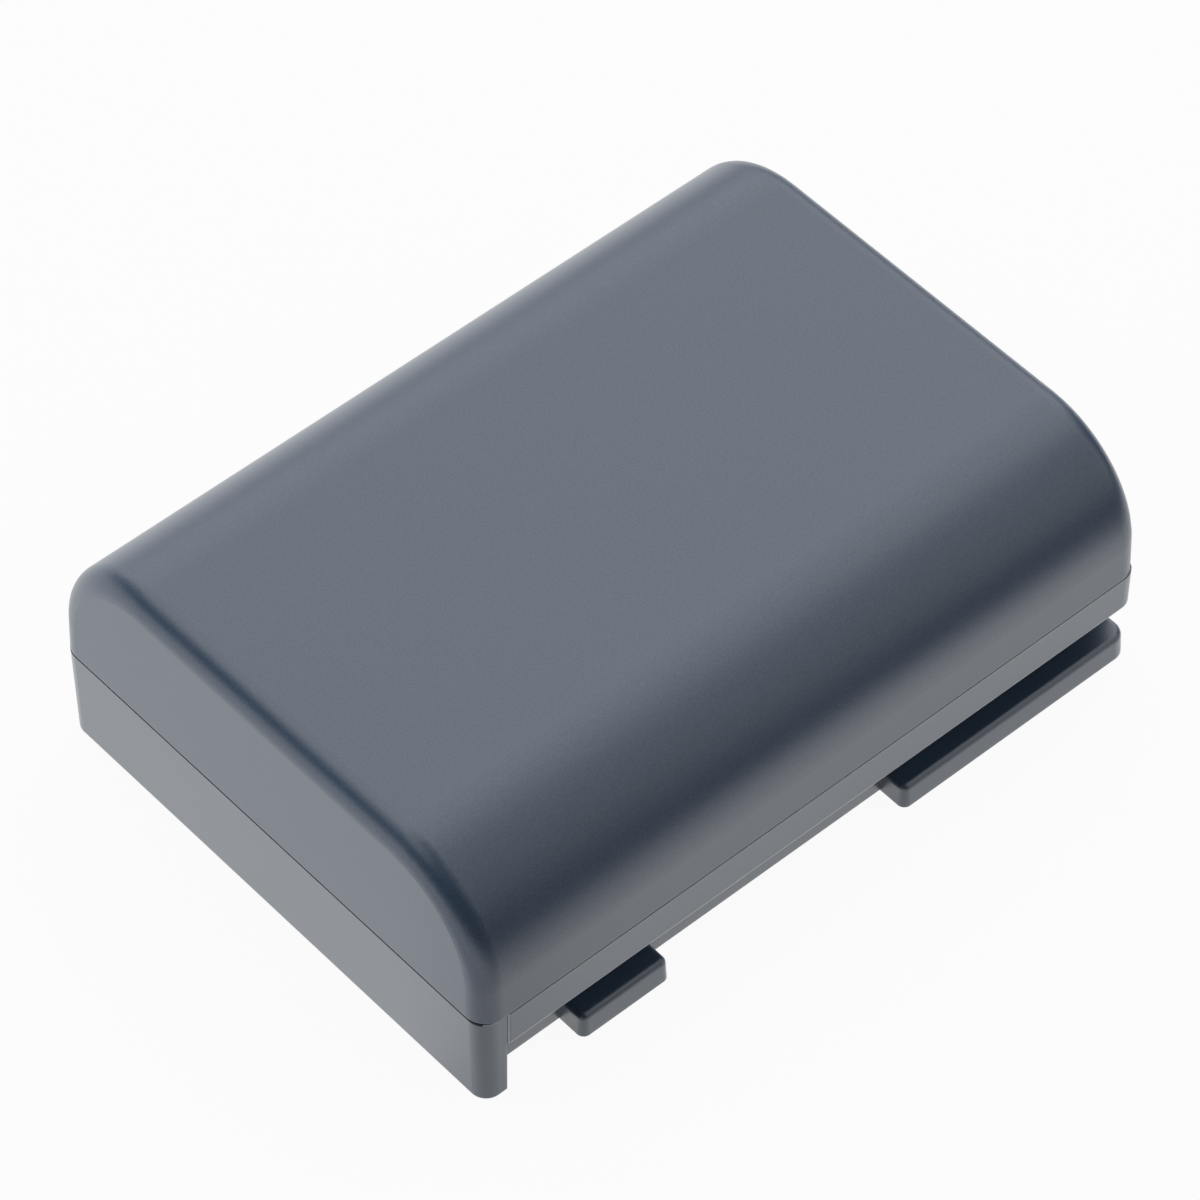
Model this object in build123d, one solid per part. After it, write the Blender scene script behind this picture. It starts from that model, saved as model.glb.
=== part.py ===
"""Lithium-ion camera battery: a welded two-part case on hook rails, two cells and a protection board."""

from build123d import *
from math import radians, tan
import os

# Sizes are in millimetres. The contact end points to +X and the pack stands on Z = 0.

# Outer size of the pack
length = 45.2
width = 33.3
height = 15.3

# Form of the case
parting_height = 6.35
crown_radius = 6.8
end_radius = 1.3
wall = 1.2
floor = 1.2
seam_step = 0.04
side_draft = 1.5
end_draft = 1.0
base_draft = 0.9
base_corner = 1.05
base_fillet = 0.1

# Weld joint: the upper case's tongue stands in a rabbet and leaves a fine gap outside
tongue_thickness = 0.45
tongue_height = 0.8
tongue_clearance = 0.05
seam_gap = 0.07

# Rail grooves along both sides, under a lip that stands proud of the end wall
rail_depth = 1.8
lip_underside = 3.85
lip_thickness = 1.2
lip_fillet = 0.18
groove_stop = 1.65
column_step = 0.1

# Hooks on the wall of each groove, placed from the two ends
hook_reach = 1.8
hook_height = 1.55
hook_shoulder = 0.36
hook_corner = 0.45
hook_draft = 3.0
short_hook_start = 6.5
short_hook_length = 5.9
long_hook_length = 16.3
long_hook_setback = 0.3
long_hook_corner = 1.0

# Terminal slots in the contact end, open to the end and to the base
terminal_pitch = 3.6
terminal_offset = 4.0
slot_width = 2.0
slot_height = 4.0
slot_depth = 2.0
block_margin = 0.8
block_wall = 0.8

# Contacts, bent from sheet
contact_thickness = 0.3
contact_width = 2.6
contact_clearance = 0.1
contact_stop = 0.6
contact_foot = 1.6

# Protection board
board_thickness = 0.8
board_headroom = 2.4
board_clearance = 0.2
board_corner = 2.0

# Parts on the board: width across the pack, height up the board and rise off it
chip_size = (1.6, 2.9, 1.1)
switch_size = (4.4, 3.0, 1.0)
fuse_size = (3.2, 1.6, 0.6)
passive_size = (0.8, 1.6, 0.5)
passive_pitch = 1.3
lead_length = 0.6
lead_width = 0.35
lead_thickness = 0.2
chip_lead_pitch = 0.95
switch_lead_pitch = 0.65
component_gap = 0.25
capacitor_step = 0.6

# Cells
cell_clearance = 0.15
can_edge = 0.5
lid_recess = 0.3
lid_rim = 0.5
pad_height = 0.6
pad_length = 4.0
pad_width = 2.2
pad_margin = 1.9

# Packing round the cells
floor_tape_thickness = 0.2
spacer_thickness = 0.2
cushion_thickness = 0.6
end_cushion_thickness = 0.5
packing_margin = 1.0
packing_corner = 1.0
paper_thickness = 0.2
window_margin = 0.4

# Nickel strips
strip_thickness = 0.15
strip_width = 2.6
strip_bend = 0.3
strip_weld_length = 2.0

# Faces of the case
half_length = length / 2
half_width = width / 2
inner_half_length = half_length - wall
inner_half_width = half_width - wall
groove_wall = half_width - rail_depth
tray_half_width = groove_wall - wall
ceiling = height - wall
tongue_foot = parting_height - tongue_height
inner_corner = max(end_radius - wall, base_fillet)

# Contact end, worked back from the slots to the cells
contact_face = half_length - slot_depth
contact_groove_back = contact_face - contact_thickness - contact_clearance
board_front = contact_groove_back - block_wall
board_back = board_front - board_thickness
board_half_width = tray_half_width - board_clearance
board_top = ceiling - board_headroom
block_top = slot_height + block_margin
component_room = chip_size[2] + strip_thickness + component_gap
strip_face = board_back - component_room
weld_face = strip_face - strip_thickness
lid_face = weld_face - pad_height

# Cells fill the case between the packing
cell_back = -inner_half_length + end_cushion_thickness
cell_length = lid_face - cell_back
cell_width = 2 * (tray_half_width - cell_clearance)
packing_height = floor_tape_thickness + spacer_thickness + cushion_thickness
cell_thickness = (ceiling - floor - packing_height) / 2
lower_cell_middle = floor + floor_tape_thickness + cell_thickness / 2
upper_cell_middle = lower_cell_middle + cell_thickness + spacer_thickness
flat_half_width = (cell_width - cell_thickness) / 2
pad_offset = flat_half_width - pad_margin

# Heights where the strips cross to the board, and of the row of board parts midway between them
lead_drop = pad_width / 2
upper_turn = upper_cell_middle - lead_drop
lower_turn = floor + board_clearance + strip_weld_length
component_row = (lower_turn + upper_turn - strip_weld_length) / 2

# Places of the parts across the board: tall ones between the strips, low ones under them and beyond
chip_place = -pad_offset / 2
switch_place = pad_offset / 2
fuse_place = -pad_offset
resistor_place = fuse_place - (fuse_size[0] + passive_pitch + passive_size[0]) / 2 - component_gap
capacitor_place = pad_offset + capacitor_step
thermistor_place = capacitor_place + 1.5 * passive_pitch

# How far a cutting tool runs past the face that it cuts
overcut = 1.0


def slab(x0, x1, y0, y1, z0, z1):
    """Square block between two limits on each axis."""
    block = Box(x1 - x0, y1 - y0, z1 - z0)
    return Pos((x0 + x1) / 2, (y0 + y1) / 2, (z0 + z1) / 2) * block


def rounded_slab(half_x, half_y, radius, z0, z1):
    """Upright block with rounded corners, centred on the pack."""
    outline = RectangleRounded(2 * half_x, 2 * half_y, radius)
    return Pos(0, 0, z0) * extrude(outline, amount=z1 - z0)


def end_plane(x, z):
    """Drawing plane that faces the contact end, with its first axis across the pack."""
    return Plane(origin=(x, 0, z), x_dir=(0, 1, 0), z_dir=(1, 0, 0))


def ribbon(points, bend, thickness, strip, y):
    """Bent strip: a path in the XZ plane with rounded bends, given a thickness and a width."""
    path = FilletPolyline(*points, radius=bend)
    section = Plane.XZ * trace(path, line_width=thickness)
    return Pos(0, y, 0) * extrude(section, amount=strip / 2, both=True)


def leaning_outline(half, bottom, top, draft):
    """Upright four-sided outline, widest at its foot, with both sides leaning in by the draft."""
    lean = (top - bottom) * tan(radians(draft))
    return Polygon((-half, bottom), (half, bottom), (half - lean, top), (lean - half, top), align=None)


def crown(half_x, half_y, top, bottom, edge_radius, end_lean):
    """Loaf form of the upper case, with large radii along the sides and sharp ends."""
    section = leaning_outline(half_y, bottom, top, side_draft)
    section = fillet(section.vertices().group_by(Axis.Y)[-1], edge_radius)
    body = extrude(Plane.YZ * section, amount=half_x, both=True)
    ends = extrude(Plane.XZ * leaning_outline(half_x, bottom, top, end_lean), amount=half_y, both=True)
    return body & ends


def rounded_ends(body, radius):
    """The body with both ends rounded, up the corners and over the top."""
    faces = body.faces().sort_by(Axis.X)
    above_foot = body.bounding_box().min.Z + radius / 2
    edges = faces[0].edges() + faces[-1].edges()
    return fillet([edge for edge in edges if edge.center().Z > above_foot], radius)


def tongue_block(thickness, z1):
    """Block from the foot of the tongue up, reaching the given depth into the case's wall."""
    half_x, half_y = inner_half_length + thickness, inner_half_width + thickness
    return rounded_slab(half_x, half_y, inner_corner + thickness, tongue_foot, z1)


def upper_case():
    """Upper half of the case, with its weld tongue."""
    rim = parting_height + seam_gap
    inner_radius = crown_radius - wall
    shell = rounded_ends(crown(half_length, half_width, height, rim, crown_radius, end_draft), end_radius)
    shell += tongue_block(tongue_thickness, rim)
    return shell - crown(inner_half_length, inner_half_width, ceiling, tongue_foot, inner_radius, 0)


def hook(start, end, side, end_corner):
    """One hook of a rail: drafted, and rounded in plan and along its shoulder."""
    root = groove_wall - wall / 2
    tip = groove_wall + hook_reach
    outline = Pos((start + end) / 2, (root + tip) / 2) * Rectangle(end - start, tip - root)
    outline = fillet(outline.vertices().sort_by_distance((start, tip))[0], hook_corner)
    outline = fillet(outline.vertices().sort_by_distance((end, tip))[0], end_corner)
    body = extrude(outline, amount=hook_height, taper=hook_draft)
    top = body.faces().sort_by(Axis.Z)[-1]
    shoulder = [e for e in top.edges() if e.center().Y > root + wall / 4]
    body = fillet(shoulder, hook_shoulder)
    return body if side > 0 else mirror(body, about=Plane.XZ)


def rail_hooks():
    """The short and the long hook of both rails."""
    short_start = -half_length + short_hook_start
    long_end = half_length - long_hook_setback
    hooks = []
    for side in (-1, 1):
        hooks.append(hook(short_start, short_start + short_hook_length, side, hook_corner))
        hooks.append(hook(long_end - long_hook_length, long_end, side, long_hook_corner))
    return hooks


def drafted_block(side_step):
    """Block of the lower case, narrowing from the seam to the base, set in by side_step at its sides."""
    seam = Plane(origin=(0, 0, parting_height), z_dir=(0, 0, -1))
    outline = RectangleRounded(length - 2 * seam_step, width - 2 * side_step, base_corner)
    block = extrude(seam * outline, amount=parting_height, taper=base_draft)
    return fillet(block.edges().group_by(Axis.Z)[0], base_fillet)


def rail_slab(side, inset, z0, z1):
    """Space of one rail between two heights, from the stop at the end wall out past the contact end."""
    near, far = sorted((side * (groove_wall - inset), side * (half_width + overcut)))
    return slab(-half_length + groove_stop, half_length + overcut, near, far, z0, z1)


def lip(side):
    """Lip over one groove, rounded along its lower edge and at its end, and rooted in the groove's wall."""
    strip = drafted_block(0) & rail_slab(side, wall / 2, lip_underside, parting_height)
    stop = -half_length + groove_stop
    lower = (0, side * half_width, lip_underside)
    end = (stop, side * half_width, (lip_underside + parting_height) / 2)
    edges = [strip.edges().sort_by_distance(place)[0] for place in (lower, end)]
    return fillet(edges, lip_fillet)


def lower_case_outside():
    """Outside of the lower case: drafted block, grooves, and the lips and hooks along them."""
    block = drafted_block(column_step)
    for side in (-1, 1):
        block -= rail_slab(side, 0, -overcut, parting_height + overcut)
        block += lip(side)
    return block + rail_hooks()


def terminal_places():
    """Y of the three terminals, from the positive one."""
    return [terminal_offset + step * terminal_pitch for step in (1, 0, -1)]


def lower_case():
    """Lower half of the case: tray, rails with hooks, rabbet for the tongue and terminal block."""
    case = lower_case_outside()
    top = parting_height + overcut
    case -= rounded_slab(inner_half_length, tray_half_width, inner_corner, floor, top)
    rail_floor = lip_underside + lip_thickness
    case -= rounded_slab(inner_half_length, inner_half_width, inner_corner, rail_floor, top)
    case -= tongue_block(tongue_thickness + tongue_clearance, top)

    places = terminal_places()
    groove_side = contact_width / 2 + contact_clearance
    block_side = groove_side + block_margin
    low, high = places[-1] - block_side, places[0] + block_side
    case += slab(board_front, half_length - wall, low, high, floor / 2, block_top)
    for y in places:
        slot = slot_width / 2
        case -= slab(contact_face, half_length + overcut, y - slot, y + slot, -overcut, slot_height)
        case -= slab(
            contact_groove_back, contact_face, y - groove_side, y + groove_side, contact_stop, top
        )
    return case


def contact(y):
    """Contact bent from sheet: blade behind the slot, leg over the block and foot on the board."""
    blade = contact_face - contact_thickness / 2
    foot = board_front + contact_thickness / 2
    leg = block_top + contact_clearance + contact_thickness / 2
    points = [(blade, contact_stop), (blade, leg), (foot, leg), (foot, leg + contact_foot)]
    bend = contact_clearance + contact_thickness / 2
    return ribbon(points, bend, contact_thickness, contact_width, y)


def weld_points(turned):
    """Outlines of a cell's round negative button and square positive pad, side by side on its lid."""
    side = -1 if turned else 1
    return SlotOverall(pad_length, pad_width), Pos(side * pad_offset, 0) * Rectangle(pad_length, pad_width)


def cell(middle, turned):
    """Prismatic cell: round-sided can with a recessed lid, a negative button and a positive pad."""
    section = end_plane(cell_back, middle) * SlotOverall(cell_width, cell_thickness)
    can = extrude(section, amount=cell_length)
    can = chamfer(can.faces().sort_by(Axis.X)[0].edges(), can_edge)
    lid = SlotOverall(cell_width - 2 * lid_rim, cell_thickness - 2 * lid_rim)
    lid_plane = end_plane(lid_face - lid_recess, middle)
    can -= extrude(lid_plane * lid, amount=lid_recess + overcut)
    for outline in weld_points(turned):
        can += extrude(lid_plane * outline, amount=lid_recess + pad_height)
    return can


def lid_paper(middle, turned):
    """Insulating paper on a cell's lid, with windows for the button and the pad."""
    sheet = SlotOverall(cell_width, cell_thickness)
    side = -1 if turned else 1
    window = Rectangle(pad_length + 2 * window_margin, pad_width + 2 * window_margin)
    sheet -= window
    sheet -= Pos(side * pad_offset, 0) * window
    return extrude(end_plane(lid_face, middle) * sheet, amount=paper_thickness)


def packing_sheet(z, thickness):
    """Flat sheet as large as the flat side of a cell, less a margin."""
    sheet = rounded_slab(
        cell_length / 2 - packing_margin, flat_half_width - packing_margin, packing_corner, z, z + thickness
    )
    return Pos((cell_back + lid_face) / 2, 0, 0) * sheet


def end_cushion():
    """Foam strip between the blind end of the cells and the end wall."""
    outline = RectangleRounded(2 * flat_half_width, upper_cell_middle - lower_cell_middle, packing_corner)
    middle = (upper_cell_middle + lower_cell_middle) / 2
    return extrude(end_plane(-inner_half_length, middle) * outline, amount=end_cushion_thickness)


def board_strip(y, z, face, turn):
    """Nickel strip welded at (y, z) on the given face, which crosses to the board at its turn's height."""
    start = face + strip_thickness / 2
    end = board_back - strip_thickness / 2
    points = [(start, z + lead_drop), (start, turn), (end, turn), (end, turn - strip_weld_length)]
    return ribbon(points, strip_bend, strip_thickness, strip_width, y)


def series_strip():
    """Flat nickel link from the lower cell's pad to the upper cell's button."""
    bottom = lower_cell_middle - lead_drop
    top = upper_cell_middle + lead_drop
    riser = Pos(pad_offset, (bottom + top) / 2) * Rectangle(strip_width, top - bottom)
    arm_length = pad_offset + strip_width / 2 + pad_length / 2
    arm_middle = (pad_offset + strip_width / 2 - pad_length / 2) / 2
    arm = Pos(arm_middle, upper_cell_middle) * Rectangle(arm_length, pad_width)
    return extrude(end_plane(weld_face, 0) * (riser + arm), amount=strip_thickness)


def circuit_board():
    """Protection board, standing on the floor behind the terminal block."""
    board_height = board_top - floor
    outline = Rectangle(2 * board_half_width, board_height)
    outline = fillet(outline.vertices().group_by(Axis.Y)[-1], board_corner)
    return extrude(end_plane(board_back, floor + board_height / 2) * outline, amount=board_thickness)


def on_board(y, z, size):
    """Block on the board's inner face, centred at (y, z)."""
    across, up, rise = size
    return slab(board_back - rise, board_back, y - across / 2, y + across / 2, z - up / 2, z + up / 2)


def leaded_chip(y, size, lead_count, lead_pitch):
    """Moulded chip with a row of flat leads on both sides."""
    across, up, rise = size
    body = on_board(y, component_row, size)
    span = across + 2 * lead_length
    for place in range(lead_count):
        z = component_row + (place - (lead_count - 1) / 2) * lead_pitch
        body += on_board(y, z, (span, lead_width, lead_thickness))
    return body


def passives(y, columns, rows):
    """Chip parts of one kind in a small grid on the board."""
    up = passive_size[1]
    row_pitch = up + component_gap
    parts = []
    for column in range(columns):
        for row in range(rows):
            z = component_row + (row - (rows - 1) / 2) * row_pitch
            parts.append(on_board(y + (column - (columns - 1) / 2) * passive_pitch, z, passive_size))
    return Compound(children=parts)


plus_place, sense_place, minus_place = terminal_places()
lower_cell_top = lower_cell_middle + cell_thickness / 2
upper_cell_top = upper_cell_middle + cell_thickness / 2

pieces = {
    "upper_case": upper_case(),
    "lower_case": lower_case(),
    "lower_cell": cell(lower_cell_middle, False),
    "upper_cell": cell(upper_cell_middle, True),
    "lower_lid_paper": lid_paper(lower_cell_middle, False),
    "upper_lid_paper": lid_paper(upper_cell_middle, True),
    "floor_tape": packing_sheet(floor, floor_tape_thickness),
    "cell_spacer": packing_sheet(lower_cell_top, spacer_thickness),
    "top_cushion": packing_sheet(upper_cell_top, cushion_thickness),
    "end_cushion": end_cushion(),
    "series_strip": series_strip(),
    "tap_strip": board_strip(pad_offset, upper_cell_middle, strip_face, upper_turn),
    "positive_strip": board_strip(-pad_offset, upper_cell_middle, weld_face, upper_turn),
    "negative_strip": board_strip(0, lower_cell_middle, weld_face, lower_turn),
    "circuit_board": circuit_board(),
    "protection_chip": leaded_chip(chip_place, chip_size, 3, chip_lead_pitch),
    "switch_transistors": leaded_chip(switch_place, switch_size, 4, switch_lead_pitch),
    "chip_fuse": on_board(fuse_place, component_row, fuse_size),
    "chip_resistors": passives(resistor_place, 2, 2),
    "chip_capacitors": passives(capacitor_place, 2, 1),
    "thermistor": passives(thermistor_place, 1, 1),
    "positive_contact": contact(plus_place),
    "sense_contact": contact(sense_place),
    "negative_contact": contact(minus_place),
}

os.makedirs("parts", exist_ok=True)
for name, piece in pieces.items():
    export_step(piece, os.path.join("parts", name + ".step"))
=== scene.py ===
"""Finishes of a slide-on camera battery: moulded case, contacts and inner pieces, in a white studio."""

import math

import bpy
from bpy.props import FloatProperty, FloatVectorProperty, PointerProperty
from bpy.types import Operator, Panel, PropertyGroup
from mathutils import Matrix, Vector


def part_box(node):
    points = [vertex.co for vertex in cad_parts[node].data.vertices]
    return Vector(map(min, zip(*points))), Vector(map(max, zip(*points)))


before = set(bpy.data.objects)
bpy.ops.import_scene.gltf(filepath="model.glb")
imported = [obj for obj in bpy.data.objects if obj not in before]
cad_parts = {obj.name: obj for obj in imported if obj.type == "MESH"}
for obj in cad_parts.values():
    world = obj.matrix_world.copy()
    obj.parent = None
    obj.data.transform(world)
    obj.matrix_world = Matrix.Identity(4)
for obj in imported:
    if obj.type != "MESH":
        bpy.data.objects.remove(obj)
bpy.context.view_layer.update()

bl_info = {
    "name": "Camera battery",
    "version": (1, 0, 0),
    "blender": (4, 5, 0),
    "location": "View3D > Sidebar > Battery",
    "description": "Finishes the pieces of a slide-on camera battery and sets up its studio",
    "category": "Object",
}

MM = 0.001


# Kinds of property

def tint(name, description, default):
    """A colour that a user may change."""
    return FloatVectorProperty(
        name=name, description=description, default=default, size=3, min=0, max=1, subtype="COLOR"
    )


def length(name, description, default):
    """A length in metres."""
    return FloatProperty(
        name=name, description=description, default=default, min=0, precision=5,
        subtype="DISTANCE", unit="LENGTH",
    )


def share(name, description, default):
    """A share from nought to one."""
    return FloatProperty(name=name, description=description, default=default, min=0, max=1, subtype="FACTOR")


def strength(name, description, default):
    """How bright a light is, where one makes a white surface white."""
    return FloatProperty(name=name, description=description, default=default, min=0)


def ratio(name, description, default):
    """A plain number of one or more."""
    return FloatProperty(name=name, description=description, default=default, min=1)


def angle(name, description, degrees):
    """An angle, given in degrees."""
    return FloatProperty(
        name=name, description=description, default=math.radians(degrees), subtype="ANGLE", unit="ROTATION"
    )


class CaseLook(PropertyGroup):
    """Plastic of the two case halves."""

    upper_colour: tint("Upper colour", "Slate plastic of the upper half", (0.036, 0.073, 0.133))
    lower_colour: tint("Lower colour", "Slate plastic of the lower half", (0.040, 0.074, 0.126))
    # Pale colour of the edges: partly wear, partly a painted highlight
    rubbed_and_highlight_colour: tint("Rubbed colour", "Paler plastic of the rubbed edges", (0.42, 0.45, 0.49))
    clouding: share("Clouding", "How far the colour drifts over a half", 0.04)
    cloud_width: length("Cloud width", "Width of a patch of drifting colour", 9 * MM)
    grain_width: length("Grain width", "Width of one grain of the spark-eroded texture", 0.11 * MM)
    grain_height: length("Grain height", "Height of the spark-eroded texture", 0.003 * MM)
    grain_tone: share("Grain tone", "How far the colour changes from grain to grain", 0.16)
    grain_sheen: share("Grain sheen", "How far the moulding skin changes from grain to grain", 0.16)
    edge_width: length("Edge width", "How far in from an edge the plastic is softened", 0.10 * MM)
    rubbed_and_highlight_width: length("Rubbed width", "How far in from an edge the plastic is rubbed", 0.24 * MM)
    # The joint line is a painted shadow of the gap between the halves
    joint_width: length("Joint width", "Width of the shaded line of the joint at both ends", 0.15 * MM)
    lip_start: length("Lip start", "From the blind end to the start of the lips", 1.65 * MM)
    lip_underside: length("Lip underside", "Height of the underside of the lips", 3.85 * MM)
    # Pale line along the lips, partly wear and partly a painted highlight; its metal share makes it reflect more
    # brightly
    lip_wear_and_highlight: length("Lip wear", "Width of the worn line along the underside of the lips", 0.18 * MM)
    lip_end_wear_and_highlight: length("Lip end wear", "Width of the worn line at the start of the lips", 0.06 * MM)
    burnish_and_highlight: share("Burnish", "How bright the worn edges of the lips are polished", 0.6)
    skin_index: ratio("Skin index", "How strongly the moulding skin reflects", 1.7)
    upper_roughness: share("Upper roughness", "Roughness of the upper half", 0.38)
    upper_skin: share("Upper skin", "How much of a glossy moulding skin the upper half has", 0.85)
    upper_grain: share("Upper grain", "How much of the grain the upper half has", 1.0)
    upper_rubbing_and_highlight: share("Upper rubbing", "How far the edges of the upper half are rubbed", 0.08)
    lower_roughness: share("Lower roughness", "Roughness of the lower half", 0.34)
    lower_skin: share("Lower skin", "How much of a glossy moulding skin the lower half has", 1.0)
    lower_grain: share("Lower grain", "How much of the grain the lower half has", 0.3)
    lower_rubbing_and_highlight: share("Lower rubbing", "How far the edges of the lower half are rubbed", 0.3)


class InsideLook(PropertyGroup):
    """Metals, films, papers and board materials inside the case and at its slots."""

    contact_colour: tint("Contact", "Gold flash on the contacts", (0.86, 0.60, 0.26))
    contact_roughness: share("Contact roughness", "Roughness of the contacts", 0.26)
    can_colour: tint("Can", "Drawn aluminium of the cells", (0.74, 0.75, 0.77))
    can_roughness: share("Can roughness", "Roughness of the cells", 0.32)
    nickel_colour: tint("Nickel", "Rolled nickel of the strips", (0.66, 0.64, 0.60))
    nickel_roughness: share("Nickel roughness", "Roughness of the strips", 0.30)
    paper_colour: tint("Paper", "Insulating paper on the cell lids", (0.34, 0.47, 0.36))
    tape_colour: tint("Tape", "Amber film tape", (0.52, 0.24, 0.05))
    foam_colour: tint("Foam", "Closed-cell foam", (0.035, 0.036, 0.038))
    laminate_colour: tint("Solder mask", "Coating of the circuit board", (0.016, 0.105, 0.042))
    trace_colour: tint("Traces", "Coating where copper lies under it", (0.030, 0.170, 0.070))
    chip_colour: tint("Chip", "Moulding compound of the chips", (0.018, 0.018, 0.020))
    ceramic_colour: tint("Ceramic", "Body of the small board parts", (0.30, 0.20, 0.12))
    tin_colour: tint("Tin", "End caps of the small board parts", (0.72, 0.72, 0.73))
    cap_length: length("Cap length", "Length of the end caps of the small board parts", 0.3 * MM)


class StageLook(PropertyGroup):
    """Floor, lights and camera."""

    floor_colour: tint("Floor", "Pale floor", (0.90, 0.90, 0.90))
    floor_size: length("Floor size", "Side of the square floor", 0.098)
    floor_setback: length("Floor setback", "How far the floor is moved away from the camera", 0.005)
    floor_white: share("Floor white", "How far the floor is lifted to white where it is seen", 0.94)
    sweep_rise: angle("Sweep rise", "How far the white sweep rises above the horizon", 17.0)
    sweep_turn: angle("Sweep turn", "Azimuth towards which the sweep rises", -139.0)
    room: strength("Room", "Light of the room", 0.08)
    back: strength("Back lamp", "Softbox across from the camera", 1.28)
    left: strength("Left lamp", "Softbox on the left", 2.2)
    right: strength("Right lamp", "Softbox on the right", 0.62)
    overhead: strength("Overhead lamp", "Softbox above", 0.9)
    azimuth: angle("Azimuth", "Camera's turn round the battery", -41.535)
    elevation: angle("Elevation", "Camera's height above the horizon", 49.765)
    distance: length("Distance", "From the camera to the point that it aims at", 325.29 * MM)
    aim: FloatVectorProperty(
        name="Aim", description="Point that the camera aims at", default=(-0.187 * MM, 0.021 * MM, 6.908 * MM),
        size=3, precision=5, subtype="XYZ", unit="LENGTH",
    )
    lens: FloatProperty(
        name="Lens", description="Focal length in millimetres", default=188.87, min=1, unit="CAMERA"
    )


class BatteryLook(PropertyGroup):
    """Everything that a user may change."""

    case: PointerProperty(type=CaseLook)
    inside: PointerProperty(type=InsideLook)
    stage: PointerProperty(type=StageLook)


# Shader nodes

class Value:
    """A socket that takes part in sums: each operation on it adds a Math node."""

    def __init__(self, nodes, socket):
        self.nodes = nodes
        self.socket = socket

    def maths(self, operation, first, second):
        return self.nodes.add("ShaderNodeMath", {"operation": operation}, {0: first, 1: second})

    def __add__(self, other):
        return self.maths("ADD", self, other)

    def __radd__(self, other):
        return self.maths("ADD", other, self)

    def __sub__(self, other):
        return self.maths("SUBTRACT", self, other)

    def __rsub__(self, other):
        return self.maths("SUBTRACT", other, self)

    def __mul__(self, other):
        return self.maths("MULTIPLY", self, other)

    def __mod__(self, other):
        return self.maths("FLOORED_MODULO", self, other)

    def __gt__(self, other):
        return self.maths("GREATER_THAN", self, other)

    def __lt__(self, other):
        return self.maths("LESS_THAN", self, other)

    def least(self, other):
        """The smaller of two values."""
        return self.maths("MINIMUM", self, other)

    def most(self, other):
        """The larger of two values."""
        return self.maths("MAXIMUM", self, other)


# How quickly the mark of an edge rises to its full strength
EDGE_GAIN = 2


class Nodes:
    """Nodes of one material or world."""

    def __init__(self, owner):
        owner.use_nodes = True
        self.owner = owner
        self.tree = owner.node_tree
        self.tree.nodes.clear()

    def add(self, kind, settings=None, inputs=None, output=0):
        """Adds a node, sets it up, gives its sockets values or links and returns one output."""
        made = self.tree.nodes.new(kind)
        for name, value in (settings or {}).items():
            if name == "stops":
                self.set_stops(made.color_ramp.elements, value)
            else:
                setattr(made, name, value)
        for name, value in (inputs or {}).items():
            if isinstance(value, Value):
                self.tree.links.new(value.socket, made.inputs[name])
            else:
                made.inputs[name].default_value = value
        return Value(self, made.outputs[output] if made.outputs else None)

    def set_stops(self, elements, stops):
        """Gives a ramp its stops as pairs of place and grey level."""
        while len(elements) < len(stops):
            elements.new(1)
        for element, (place, grey) in zip(elements, stops):
            element.position = place
            element.color = (grey, grey, grey, 1)

    def place(self, scale=(1, 1, 1)):
        """The point on the piece, in metres, stretched by a scale along each axis."""
        point = self.add("ShaderNodeTexCoord", output="Object")
        return self.add("ShaderNodeVectorMath", {"operation": "MULTIPLY"}, {0: point, 1: scale})

    def axis(self, name):
        """The point's place along one axis, in metres."""
        return self.add("ShaderNodeSeparateXYZ", None, {0: self.place()}, name)

    def noise(self, width, detail=2.0, stretch=(1, 1, 1)):
        """Soft noise from about nought to one, with patches of the given width."""
        return self.add(
            "ShaderNodeTexNoise", None, {"Vector": self.place(stretch), "Scale": 1 / width, "Detail": detail}
        )

    def cells(self, width):
        """Distance to the nearest of points that are scattered the given width apart."""
        inputs = {"Vector": self.place(), "Scale": 1 / width}
        return self.add("ShaderNodeTexVoronoi", {"feature": "F1"}, inputs)

    def ramp(self, value, *stops):
        """A value bent by the stops of a ramp."""
        return self.add("ShaderNodeValToRGB", {"stops": stops}, {"Fac": value})

    def mix(self, factor, first, second):
        """Goes from the first colour to the second."""
        return self.add("ShaderNodeMix", {"data_type": "RGBA"}, {0: factor, 6: first, 7: second}, 2)

    def soft_normal(self, width):
        """Normal that turns smoothly over the piece's edges."""
        return self.add("ShaderNodeBevel", {"samples": 6}, {"Radius": width})

    def edges(self, width):
        """Rises to one on the edges that stand out from the piece."""
        settings = {"inside": True, "only_local": True, "samples": 8}
        buried = self.add("ShaderNodeAmbientOcclusion", settings, {"Distance": width}, "AO")
        return ((1 - buried) * EDGE_GAIN).least(1.0)

    def bump(self, height, depth, normal=None):
        """Normal of a surface with relief of the given depth."""
        inputs = {"Height": height, "Strength": 1.0, "Distance": depth}
        if normal:
            inputs["Normal"] = normal
        return self.add("ShaderNodeBump", None, inputs)

    def surface(self, shader):
        """Sends a shader to the output."""
        in_world = isinstance(self.owner, bpy.types.World)
        kind = "ShaderNodeOutputWorld" if in_world else "ShaderNodeOutputMaterial"
        self.add(kind, None, {"Surface": shader})


# Painted shadow: dark colour put on the joint line, standing in for the shade in the gap between the halves
JOINT_SHADOW_COLOUR = (0.07, 0.075, 0.08, 1.0)


def socket_name(word):
    """Name of a shader's socket, from a keyword such as coat_weight."""
    return word.replace("_", " ").title().replace("Ior", "IOR")


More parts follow.
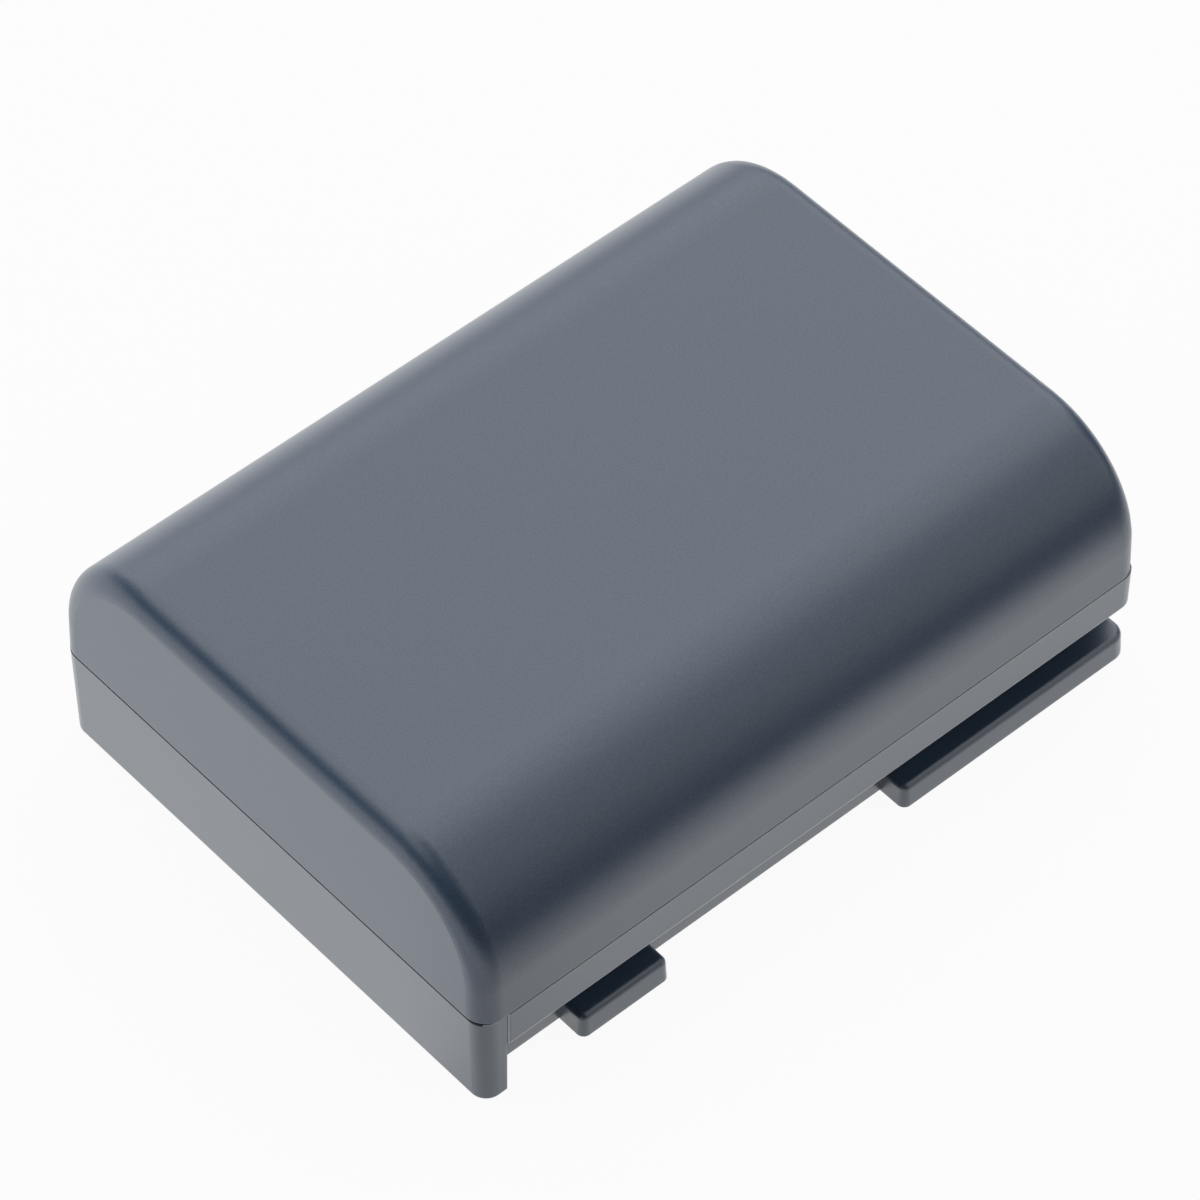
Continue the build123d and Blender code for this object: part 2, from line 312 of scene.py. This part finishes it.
class Finish(Nodes):
    """A material with one surface shader."""

    def __init__(self, name):
        super().__init__(bpy.data.materials.new(name))

    def coat(self, colour, roughness, normal, metallic=0.0, joint_shadow=None, **constants):
        """Sets the surface, with a dark, dull painted shadow where a joint mask is given, and gives back the
        material.
        """
        inputs = {"Base Color": colour, "Roughness": roughness, "Normal": normal, "Metallic": metallic}
        for name, value in constants.items():
            inputs[socket_name(name)] = value
        shader = self.add("ShaderNodeBsdfPrincipled", None, inputs)
        if joint_shadow:
            dark = {"Base Color": JOINT_SHADOW_COLOUR, "Roughness": 1.0, "Specular IOR Level": 0.0}
            depth = self.add("ShaderNodeBsdfPrincipled", None, dark)
            shader = self.add("ShaderNodeMixShader", None, {0: joint_shadow, 1: shader, 2: depth})
        self.surface(shader)
        return self.owner


def shade(colour, amount):
    """A colour made lighter or darker, with full alpha."""
    return (*(min(channel * amount, 1.0) for channel in colour), 1.0)


def dress(material, *nodes):
    """Gives pieces of the frame their finish."""
    for node in nodes:
        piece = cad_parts[node]
        piece.data.materials.clear()
        piece.data.materials.append(material)


# Finishes

# How far in from its end an end wall of the case is taken to reach, and from its side a lip
END_WALL_DEPTH = 0.3 * MM
LIP_DEPTH = 0.3 * MM

# Width of the patches along the lips' pale line, which is partly wear and partly painted highlight, its least
# strength, and how much more a patch may have
LIP_LINE_PATCH = 2.5 * MM
LEAST_LIP_LINE = 0.4
PATCH_LIP_LINE = 0.8

# How far the noise of the grain is spread out
GRAIN_CONTRAST = 2.5

# How far clouds and grain roughen the case, and how far the pale edges, partly wear and partly painted
# highlight, smooth it
CLOUD_DULLING = 0.06
GRAIN_DULLING = 0.10
RUBBED_SMOOTHING = 0.06


def joint_shadow_line(finish, look):
    """One on the line of the joint along the top of the lower half's end walls, where a shadow of the gap is
    painted.
    """
    lowest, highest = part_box("lower_case")
    along = finish.axis("X")
    end_wall = (highest.x - lowest.x) / 2 - END_WALL_DEPTH
    return (along * along > end_wall ** 2) * (finish.axis("Z") > highest.z - look.joint_width)


def lip_wear_and_highlight_mask(finish, look):
    """Rises to one, unevenly, on the edges of the lips that slide along a camera's rails: a line that is partly
    wear and partly painted highlight.
    """
    lowest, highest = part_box("lower_case")
    along, across, height = [finish.axis(name) for name in "XYZ"]
    start = lowest.x + look.lip_start
    lip = (along > start) * (height > look.lip_underside)
    unmarked = (along > start + look.lip_end_wear_and_highlight) * (height > look.lip_underside + look.lip_wear_and_highlight)
    outer = across * across > (highest.y - LIP_DEPTH) ** 2
    return (lip - unmarked) * outer * (finish.noise(LIP_LINE_PATCH, detail=4.0) * PATCH_LIP_LINE + LEAST_LIP_LINE)


def moulded_case(look, half):
    """Satin plastic with a fine spark-eroded grain, faint flow clouds, pale edges that are partly wear and
    partly painted highlight, and a moulding skin; the lower half also gets a pale lip line of wear and painted
    highlight, and a painted shadow in the joint.
    """
    plastic, roughness, skin, grained, rubbing_and_highlight = [
        getattr(look, f"{half}_{trait}") for trait in ("colour", "roughness", "skin", "grain", "rubbing_and_highlight")
    ]
    finish = Finish(f"moulded_{half}")
    clouds = finish.noise(look.cloud_width, detail=4.0)
    grain = (finish.noise(look.grain_width, detail=3.0) - 0.5) * (GRAIN_CONTRAST * grained) + 0.5
    # Edges that stand out go pale: partly wear, partly a painted highlight
    rubbed_and_highlight = finish.edges(look.rubbed_and_highlight_width) * rubbing_and_highlight
    drift = look.clouding + look.grain_tone
    tone = (clouds * look.clouding + grain * look.grain_tone) * (1 / drift)
    burnished_highlight = 0.0
    if half == "lower":
        # The lips' lower edges and their start get a pale, metal-like line: partly wear, partly a painted
        # highlight
        worn_and_highlight = lip_wear_and_highlight_mask(finish, look)
        rubbed_and_highlight = (rubbed_and_highlight + worn_and_highlight).least(1.0)
        burnished_highlight = worn_and_highlight * look.burnish_and_highlight
    colour = finish.mix(tone, shade(plastic, 1 - drift), shade(plastic, 1 + drift))
    colour = finish.mix(rubbed_and_highlight, colour, shade(look.rubbed_and_highlight_colour, 1))
    dull = roughness + (clouds - 0.5) * CLOUD_DULLING + (grain - 0.5) * GRAIN_DULLING
    dull = dull - rubbed_and_highlight * RUBBED_SMOOTHING
    relief = finish.bump(grain, look.grain_height, finish.soft_normal(look.edge_width))
    sheen = (skin + (grain - 0.5) * look.grain_sheen).least(1.0)
    # Painted shadow in the joint at both ends of the lower half
    joint_shadow = joint_shadow_line(finish, look) if half == "lower" else None
    return finish.coat(
        colour, dull, relief, burnished_highlight, joint_shadow,
        coat_weight=sheen, coat_roughness=roughness, coat_ior=look.skin_index,
    )


def gold_flash(look):
    """Thin gold on stamped brass, a little dull, with drawn lines and tarnish."""
    finish = Finish("gold_flash")
    tarnish = finish.noise(0.7 * MM, detail=5.0)
    drawn = finish.noise(0.05 * MM, stretch=(1, 1, 0.06))
    colour = finish.mix(tarnish * 0.5, shade(look.contact_colour, 1.0), shade(look.contact_colour, 0.62))
    gloss = look.contact_roughness + (tarnish - 0.5) * 0.25 + (drawn - 0.5) * 0.12
    return finish.coat(colour, gloss, finish.bump(drawn, 0.0008 * MM, finish.soft_normal(0.05 * MM)), 1.0)


def drawn_can(look):
    """Deep-drawn aluminium with lines along the draw and faint stains."""
    finish = Finish("drawn_can")
    lines = finish.noise(0.06 * MM, detail=3.0, stretch=(0.03, 1, 1))
    stains = finish.noise(4 * MM, detail=5.0)
    colour = finish.mix(stains, shade(look.can_colour, 0.90), shade(look.can_colour, 1.05))
    gloss = look.can_roughness + (lines - 0.5) * 0.22 + (stains - 0.5) * 0.12
    return finish.coat(colour, gloss, finish.bump(lines, 0.001 * MM), 1.0)


def rolled_nickel(look):
    """Rolled nickel with fine lines, fingerprints and heat tint in patches."""
    finish = Finish("rolled_nickel")
    lines = finish.noise(0.05 * MM, detail=2.0, stretch=(1, 0.05, 1))
    marks = finish.noise(1.6 * MM, detail=6.0)
    heat = finish.ramp(finish.noise(2.2 * MM), (0.55, 0.0), (0.75, 1.0))
    colour = finish.mix(marks, shade(look.nickel_colour, 0.85), shade(look.nickel_colour, 1.08))
    colour = finish.mix(heat * 0.3, colour, (0.46, 0.37, 0.25, 1.0))
    gloss = look.nickel_roughness + (marks - 0.5) * 0.2 + (lines - 0.5) * 0.1
    return finish.coat(colour, gloss, finish.bump(lines, 0.0008 * MM, finish.soft_normal(0.03 * MM)), 1.0)


def fibre_paper(look):
    """Pressed insulating paper with fibres and a soft mottle."""
    finish = Finish("fibre_paper")
    fibres = finish.noise(0.12 * MM, detail=5.0, stretch=(0.3, 1, 0.5))
    mottle = finish.noise(1.8 * MM, detail=3.0)
    tone = fibres * 0.6 + mottle * 0.4
    colour = finish.mix(tone, shade(look.paper_colour, 0.78), shade(look.paper_colour, 1.18))
    gloss = 0.86 + (fibres - 0.5) * 0.12
    return finish.coat(colour, gloss, finish.bump(fibres, 0.012 * MM))


def film_tape(look):
    """Glossy amber film with a slight ripple over its adhesive."""
    finish = Finish("film_tape")
    ripple = finish.noise(1.5 * MM, detail=3.0, stretch=(0.4, 1, 1))
    blush = finish.noise(3 * MM, detail=4.0)
    colour = finish.mix(blush, shade(look.tape_colour, 0.82), shade(look.tape_colour, 1.12))
    gloss = 0.22 + (ripple - 0.5) * 0.14
    return finish.coat(colour, gloss, finish.bump(ripple, 0.02 * MM), coat_weight=0.3)


def closed_foam(look):
    """Dark closed-cell foam, its skin pitted by the cells."""
    finish = Finish("closed_foam")
    pits = finish.cells(0.22 * MM)
    wander = finish.noise(2.5 * MM, detail=3.0)
    colour = finish.mix(pits * 0.7 + wander * 0.3, shade(look.foam_colour, 0.7), shade(look.foam_colour, 1.5))
    gloss = 0.88 + (wander - 0.5) * 0.1
    return finish.coat(colour, gloss, finish.bump(pits, 0.05 * MM))


def masked_board(look):
    """Solder mask over copper runs: the runs stand a little proud and show lighter."""
    finish = Finish("masked_board")
    across = finish.axis("Y") + (finish.noise(6 * MM) - 0.5) * (3 * MM)
    runs = ((across % (1.3 * MM)) < 0.5 * MM) * (finish.noise(4 * MM) > 0.44)
    weave = finish.noise(0.2 * MM, detail=2.0)
    colour = finish.mix(runs, shade(look.laminate_colour, 1.0), shade(look.trace_colour, 1.0))
    colour = finish.mix(weave * 0.25, colour, shade(look.laminate_colour, 0.6))
    gloss = 0.34 + (weave - 0.5) * 0.12 + runs * 0.04
    return finish.coat(colour, gloss, finish.bump(runs + weave * 0.3, 0.02 * MM), coat_weight=0.15)


def moulding_compound(look):
    """Matt black compound with a sandy texture and pale filler specks."""
    finish = Finish("moulding_compound")
    sand = finish.noise(0.05 * MM, detail=3.0)
    specks = finish.ramp(finish.noise(0.07 * MM, detail=1.0), (0.66, 0.0), (0.72, 1.0))
    colour = finish.mix(specks * 0.5, shade(look.chip_colour, 1.0), shade(look.chip_colour, 4.0))
    gloss = 0.62 + (sand - 0.5) * 0.2
    return finish.coat(colour, gloss, finish.bump(sand, 0.003 * MM, finish.soft_normal(0.06 * MM)))


def capped_ceramic(look, name, rows):
    """Fired ceramic with tinned caps at the ends of each row of parts, given as pairs of heights."""
    finish = Finish(name)
    height = finish.axis("Z")
    body = 0.0
    for low, high in rows:
        body = (height > low + look.cap_length) * (height < high - look.cap_length) + body
    grit = finish.noise(0.06 * MM, detail=4.0)
    fired = finish.mix(grit, shade(look.ceramic_colour, 0.8), shade(look.ceramic_colour, 1.2))
    tinned = finish.mix(grit, shade(look.tin_colour, 0.85), shade(look.tin_colour, 1.05))
    gloss = 0.42 + (grit - 0.5) * 0.25
    relief = finish.bump(grit, 0.003 * MM, finish.soft_normal(0.05 * MM))
    return finish.coat(finish.mix(body, tinned, fired), gloss, relief, 1 - body)


# Operators

class FinishCase(Operator):
    """Gives both case halves their satin plastic"""

    bl_idname = "battery.finish_case"
    bl_label = "Case"

    def execute(self, context):
        look = context.scene.battery.case
        for half in ("upper", "lower"):
            dress(moulded_case(look, half), f"{half}_case")
        return {"FINISHED"}


class FinishContacts(Operator):
    """Gives the three contacts behind the slots their gold flash"""

    bl_idname = "battery.finish_contacts"
    bl_label = "Contacts"

    def execute(self, context):
        dress(gold_flash(context.scene.battery.inside), "positive_contact", "sense_contact", "negative_contact")
        return {"FINISHED"}


class FinishCells(Operator):
    """Gives the two cells their drawn aluminium"""

    bl_idname = "battery.finish_cells"
    bl_label = "Cells"

    def execute(self, context):
        dress(drawn_can(context.scene.battery.inside), "lower_cell", "upper_cell")
        return {"FINISHED"}


class FinishPacking(Operator):
    """Gives the lid papers, the tape and the foam round the cells their finishes"""

    bl_idname = "battery.finish_packing"
    bl_label = "Papers, tape and foam"

    def execute(self, context):
        look = context.scene.battery.inside
        dress(fibre_paper(look), "lower_lid_paper", "upper_lid_paper")
        dress(film_tape(look), "floor_tape", "cell_spacer")
        dress(closed_foam(look), "top_cushion", "end_cushion")
        return {"FINISHED"}


class FinishStrips(Operator):
    """Gives the four strips between the cells and the board their rolled nickel"""

    bl_idname = "battery.finish_strips"
    bl_label = "Strips"

    def execute(self, context):
        strips = ("series_strip", "tap_strip", "positive_strip", "negative_strip")
        dress(rolled_nickel(context.scene.battery.inside), *strips)
        return {"FINISHED"}


class FinishBoard(Operator):
    """Gives the circuit board its solder mask and copper runs"""

    bl_idname = "battery.finish_board"
    bl_label = "Circuit board"

    def execute(self, context):
        dress(masked_board(context.scene.battery.inside), "circuit_board")
        return {"FINISHED"}


class FinishBoardParts(Operator):
    """Gives the chips and the small capped parts on the board their finishes"""

    bl_idname = "battery.finish_board_parts"
    bl_label = "Board parts"

    def execute(self, context):
        look = context.scene.battery.inside
        dress(moulding_compound(look), "protection_chip", "switch_transistors")
        for node in ("chip_fuse", "chip_capacitors", "thermistor", "chip_resistors"):
            lowest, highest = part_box(node)
            dress(capped_ceramic(look, node + "_ceramic", [(lowest.z, highest.z)]), node)
        return {"FINISHED"}


# Azimuth and elevation of each softbox in degrees, then its distance, width and height in metres
LAMP_PLACES = {
    "back": (138.5, 46, 0.75, 1.20, 0.95),
    "left": (-124.0, 8, 0.70, 0.60, 0.36),
    "right": (46.0, 38, 0.32, 0.28, 0.40),
    "overhead": (-126.5, 62, 0.70, 0.50, 0.40),
}

# Softboxes that show in reflections
MIRRORED_LAMPS = ("back", "right", "overhead")

# How sharply the white sweep behind the floor ends at its top
SWEEP_FALL = 8.0


def direction(azimuth, elevation):
    """Unit vector towards a point of the sky, with the azimuth counted from -Y."""
    flat = math.cos(elevation)
    return Vector((math.sin(azimuth) * flat, -math.cos(azimuth) * flat, math.sin(elevation)))


# How white the floor is mirrored, by its place as a share of the reach: painted shade falling away towards the
# camera, and a painted shadow strip beside the battery; both show only in reflections
MIRROR_REACH = 60 * MM
MIRROR_STOPS = ((0.46, 1.0), (0.72, 0.2))
SHADE_STOPS = ((0.20, 1.0), (0.29, 0.68), (0.40, 1.0))


def pale_floor(stage):
    """Matt pale floor that is lifted towards white where it is seen, keeps its shadows, and has painted shade in
    what it mirrors.
    """
    finish = Finish("pale_floor")
    mottle = finish.noise(0.03, detail=3.0)
    colour = finish.mix(mottle, shade(stage.floor_colour, 0.99), shade(stage.floor_colour, 1.01))
    matt = finish.add(
        "ShaderNodeBsdfPrincipled", None, {"Base Color": colour, "Roughness": 1.0, "Specular IOR Level": 0.0}
    )
    white = finish.add("ShaderNodeEmission", None, {"Color": (1, 1, 1, 1), "Strength": 1.0})
    point = finish.add("ShaderNodeNewGeometry", output="Position")
    across = finish.add("ShaderNodeSeparateXYZ", None, {0: point}, "Y")
    # Painted shadow beside the battery and painted shade towards the camera, seen only in reflections
    shaded = finish.ramp(across * (-1 / MIRROR_REACH), *SHADE_STOPS)
    mirrored = finish.ramp(finish.axis("Y") * (-1 / MIRROR_REACH), *MIRROR_STOPS) * shaded
    seen = seen_rays(finish, stage.floor_white, mirrored)
    finish.surface(finish.add("ShaderNodeMixShader", None, {0: seen, 1: matt, 2: white}))
    return finish.owner


def seen_rays(nodes, straight, mirrored):
    """Share of white for rays straight from the camera, and for those by way of gloss and clear pieces."""
    kinds = ("Camera", "Glossy", "Transmission")
    camera, glossy, clear = [nodes.add("ShaderNodeLightPath", output=f"Is {kind} Ray") for kind in kinds]
    return (camera * straight + (glossy + clear) * mirrored).least(1.0)


# Keeps the floor from lying in the plane of the battery's base
FLOOR_CLEARANCE = 0.02 * MM


def lay_floor(stage):
    """Lays the floor under the battery."""
    half = stage.floor_size / 2
    mesh = bpy.data.meshes.new("floor")
    corners = [(x, y, 0.0) for x, y in ((-half, -half), (half, -half), (half, half), (-half, half))]
    mesh.from_pydata(corners, [], [(0, 1, 2, 3)])
    mesh.materials.append(pale_floor(stage))
    floor = bpy.data.objects.new("floor", mesh)
    floor.rotation_euler.z = stage.azimuth
    floor.location = direction(stage.azimuth, 0) * -stage.floor_setback - Vector((0, 0, FLOOR_CLEARANCE))
    bpy.context.scene.collection.objects.link(floor)


def hang_lamp(name, radiance):
    """Hangs one softbox that faces the battery."""
    azimuth, elevation, distance, width, height = LAMP_PLACES[name]
    lamp = bpy.data.lights.new(name + "_lamp", "AREA")
    lamp.shape = "RECTANGLE"
    lamp.size = width
    lamp.size_y = height
    lamp.energy = radiance * math.pi * width * height
    hung = bpy.data.objects.new(name + "_lamp", lamp)
    towards = direction(math.radians(azimuth), math.radians(elevation))
    hung.location = towards * distance
    hung.rotation_euler = towards.to_track_quat("Z", "Y").to_euler()
    hung.visible_camera = False
    hung.visible_glossy = name in MIRRORED_LAMPS
    bpy.context.scene.collection.objects.link(hung)


def light_room(stage):
    """Even light of the room, white where seen, with a sweep behind the floor that shows in reflections."""
    nodes = Nodes(bpy.data.worlds.new("room"))
    dim = nodes.add("ShaderNodeBackground", None, {"Color": (1, 1, 1, 1), "Strength": stage.room})
    white = nodes.add("ShaderNodeBackground", None, {"Color": (1, 1, 1, 1), "Strength": 1.0})
    outwards = nodes.add("ShaderNodeTexCoord", output="Generated")
    slope = direction(stage.sweep_turn, 0) * math.tan(stage.sweep_rise) - Vector((0, 0, 1))
    under = nodes.add("ShaderNodeVectorMath", {"operation": "DOT_PRODUCT"}, {0: outwards, 1: slope}, "Value")
    sweep = (under * SWEEP_FALL).least(1.0).most(0.0)
    seen = seen_rays(nodes, 1.0, sweep)
    nodes.surface(nodes.add("ShaderNodeMixShader", None, {0: seen, 1: dim, 2: white}))
    bpy.context.scene.world = nodes.owner


def place_camera(stage):
    """Stands the camera where the photograph was taken from."""
    back = direction(stage.azimuth, stage.elevation)
    across = Vector((math.cos(stage.azimuth), math.sin(stage.azimuth), 0))
    turned = Matrix((across, back.cross(across), back)).transposed()
    camera = bpy.data.cameras.new("camera")
    camera.sensor_width = 36
    camera.lens = stage.lens
    camera.clip_start = 0.01
    stand = bpy.data.objects.new("camera", camera)
    stand.matrix_world = Matrix.Translation(Vector(stage.aim) + back * stage.distance) @ turned.to_4x4()
    bpy.context.scene.collection.objects.link(stand)
    bpy.context.scene.camera = stand


class SetStage(Operator):
    """Lays the floor, hangs the lamps and places the camera"""

    bl_idname = "battery.set_stage"
    bl_label = "Stage"

    def execute(self, context):
        stage = context.scene.battery.stage
        context.scene.view_settings.view_transform = "Standard"
        lay_floor(stage)
        light_room(stage)
        for name in LAMP_PLACES:
            hang_lamp(name, getattr(stage, name))
        place_camera(stage)
        return {"FINISHED"}


STEPS = (
    FinishCase, FinishContacts, FinishCells, FinishPacking, FinishStrips, FinishBoard, FinishBoardParts, SetStage
)


class BatteryPanel(Panel):
    """Lists the battery's steps and what may be changed"""

    bl_idname = "VIEW3D_PT_battery"
    bl_label = "Battery"
    bl_space_type = "VIEW_3D"
    bl_region_type = "UI"
    bl_category = "Battery"

    def draw(self, context):
        for step in STEPS:
            self.layout.operator(step.bl_idname)
        for name in ("case", "inside", "stage"):
            look = getattr(context.scene.battery, name)
            box = self.layout.box()
            for setting in look.__annotations__:
                box.prop(look, setting)


CLASSES = (CaseLook, InsideLook, StageLook, BatteryLook, *STEPS, BatteryPanel)


def register():
    for kind in CLASSES:
        bpy.utils.register_class(kind)
    bpy.types.Scene.battery = PointerProperty(type=BatteryLook)


def unregister():
    del bpy.types.Scene.battery
    for kind in reversed(CLASSES):
        bpy.utils.unregister_class(kind)


def main():
    register()
    for step in STEPS:
        group, name = step.bl_idname.split(".")
        getattr(getattr(bpy.ops, group), name)()


if __name__ == "__main__":
    main()
